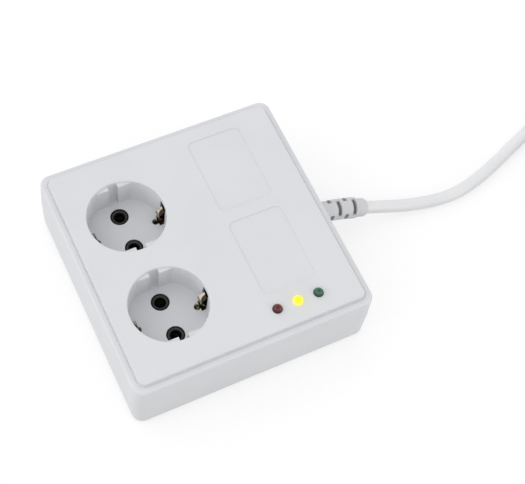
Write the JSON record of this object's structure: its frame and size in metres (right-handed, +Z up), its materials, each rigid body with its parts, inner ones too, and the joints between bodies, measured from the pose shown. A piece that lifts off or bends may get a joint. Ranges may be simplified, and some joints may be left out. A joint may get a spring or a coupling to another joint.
{
  "type": "surge protector power strip",
  "caption": "Square surge protector block with earthed round socket recesses, pilot lamps and a mains lead wound into a coil.",
  "frame": {"origin": "under the middle of the housing, on the surface that its feet stand on", "axes": "+X from the socket column towards the side where the lead leaves, +Y away from the lamps, +Z up"},
  "size_m": [0.3679, 0.1695, 0.0532],
  "materials": {
    "white_abs": "fine satin moulding",
    "black_insert": "satin",
    "contact_brass": "stamped sheet",
    "clip_brass": "stamped spring sheet",
    "board_laminate": "laminate with solder resist",
    "varistor_coat": "dipped epoxy",
    "ceramic": "glazed ceramic",
    "capacitor_case": "moulded case",
    "resistor_coat": "lacquer",
    "lamp_red": "clear tinted epoxy",
    "lamp_yellow": "diffused tinted epoxy, lit",
    "lamp_green": "clear tinted epoxy",
    "wire_brown": "extruded insulation",
    "wire_blue": "extruded insulation",
    "wire_earth": "extruded striped insulation",
    "steel": "zinc plated",
    "foot_rubber": "moulded rubber",
    "grey_pvc": "soft moulded",
    "cord_pvc": "soft extruded sheath",
    "plug_metal": "nickel plated brass"
  },
  "bodies": {
    "housing": {"top_cover": "white_abs", "base_shell": "white_abs", "contact_carrier_1": "black_insert", "contact_carrier_2": "black_insert", "live_contact_1": "contact_brass", "live_contact_2": "contact_brass", "neutral_contact_1": "contact_brass", "neutral_contact_2": "contact_brass", "live_busbar": "contact_brass", "neutral_busbar": "contact_brass", "earth_strap_1": "contact_brass", "earth_strap_2": "contact_brass", "earth_link": "contact_brass", "circuit_board": "board_laminate", "varistor_1": "varistor_coat", "varistor_2": "varistor_coat", "varistor_3": "varistor_coat", "gas_discharge_tube": "ceramic", "thermal_fuse": "steel", "film_capacitor": "capacitor_case", "resistors": "resistor_coat", "lamp_red": "lamp_red", "lamp_yellow": "lamp_yellow", "lamp_green": "lamp_green", "lamp_leads": "steel", "live_wire": "wire_brown", "neutral_wire": "wire_blue", "earth_wire": "wire_earth", "board_wires": "wire_blue", "cover_screws": "steel", "board_screws": "steel", "clamp_screws": "steel", "rubber_feet": "foot_rubber", "cord_clamp": "black_insert", "strain_relief": "grey_pvc", "cord_run": "cord_pvc", "cord_coil": "cord_pvc", "plug_body": "cord_pvc", "plug_pins": "plug_metal", "plug_earth_contacts": "contact_brass"},
    "clip_1_left": {"earth_clip_1_left": "clip_brass"},
    "clip_1_right": {"earth_clip_1_right": "clip_brass"},
    "clip_2_left": {"earth_clip_2_left": "clip_brass"},
    "clip_2_right": {"earth_clip_2_right": "clip_brass"}
  },
  "joints": [
    {"name": "clip_1_left_flex", "type": "hinge", "parent": "housing", "child": "clip_1_left", "pos_m": [-0.05115, 0.02585, 0.0208], "axis": [0, -1, 0], "range_deg": [0, 5], "stiffness_Nm_per_rad": 0.4},
    {"name": "clip_1_right_flex", "type": "hinge", "parent": "housing", "child": "clip_1_right", "pos_m": [-0.01035, 0.02585, 0.0208], "axis": [0, 1, 0], "range_deg": [0, 5], "stiffness_Nm_per_rad": 0.4},
    {"name": "clip_2_left_flex", "type": "hinge", "parent": "housing", "child": "clip_2_left", "pos_m": [-0.05115, -0.02585, 0.0208], "axis": [0, -1, 0], "range_deg": [0, 5], "stiffness_Nm_per_rad": 0.4},
    {"name": "clip_2_right_flex", "type": "hinge", "parent": "housing", "child": "clip_2_right", "pos_m": [-0.01035, -0.02585, 0.0208], "axis": [0, 1, 0], "range_deg": [0, 5], "stiffness_Nm_per_rad": 0.4}
  ]
}
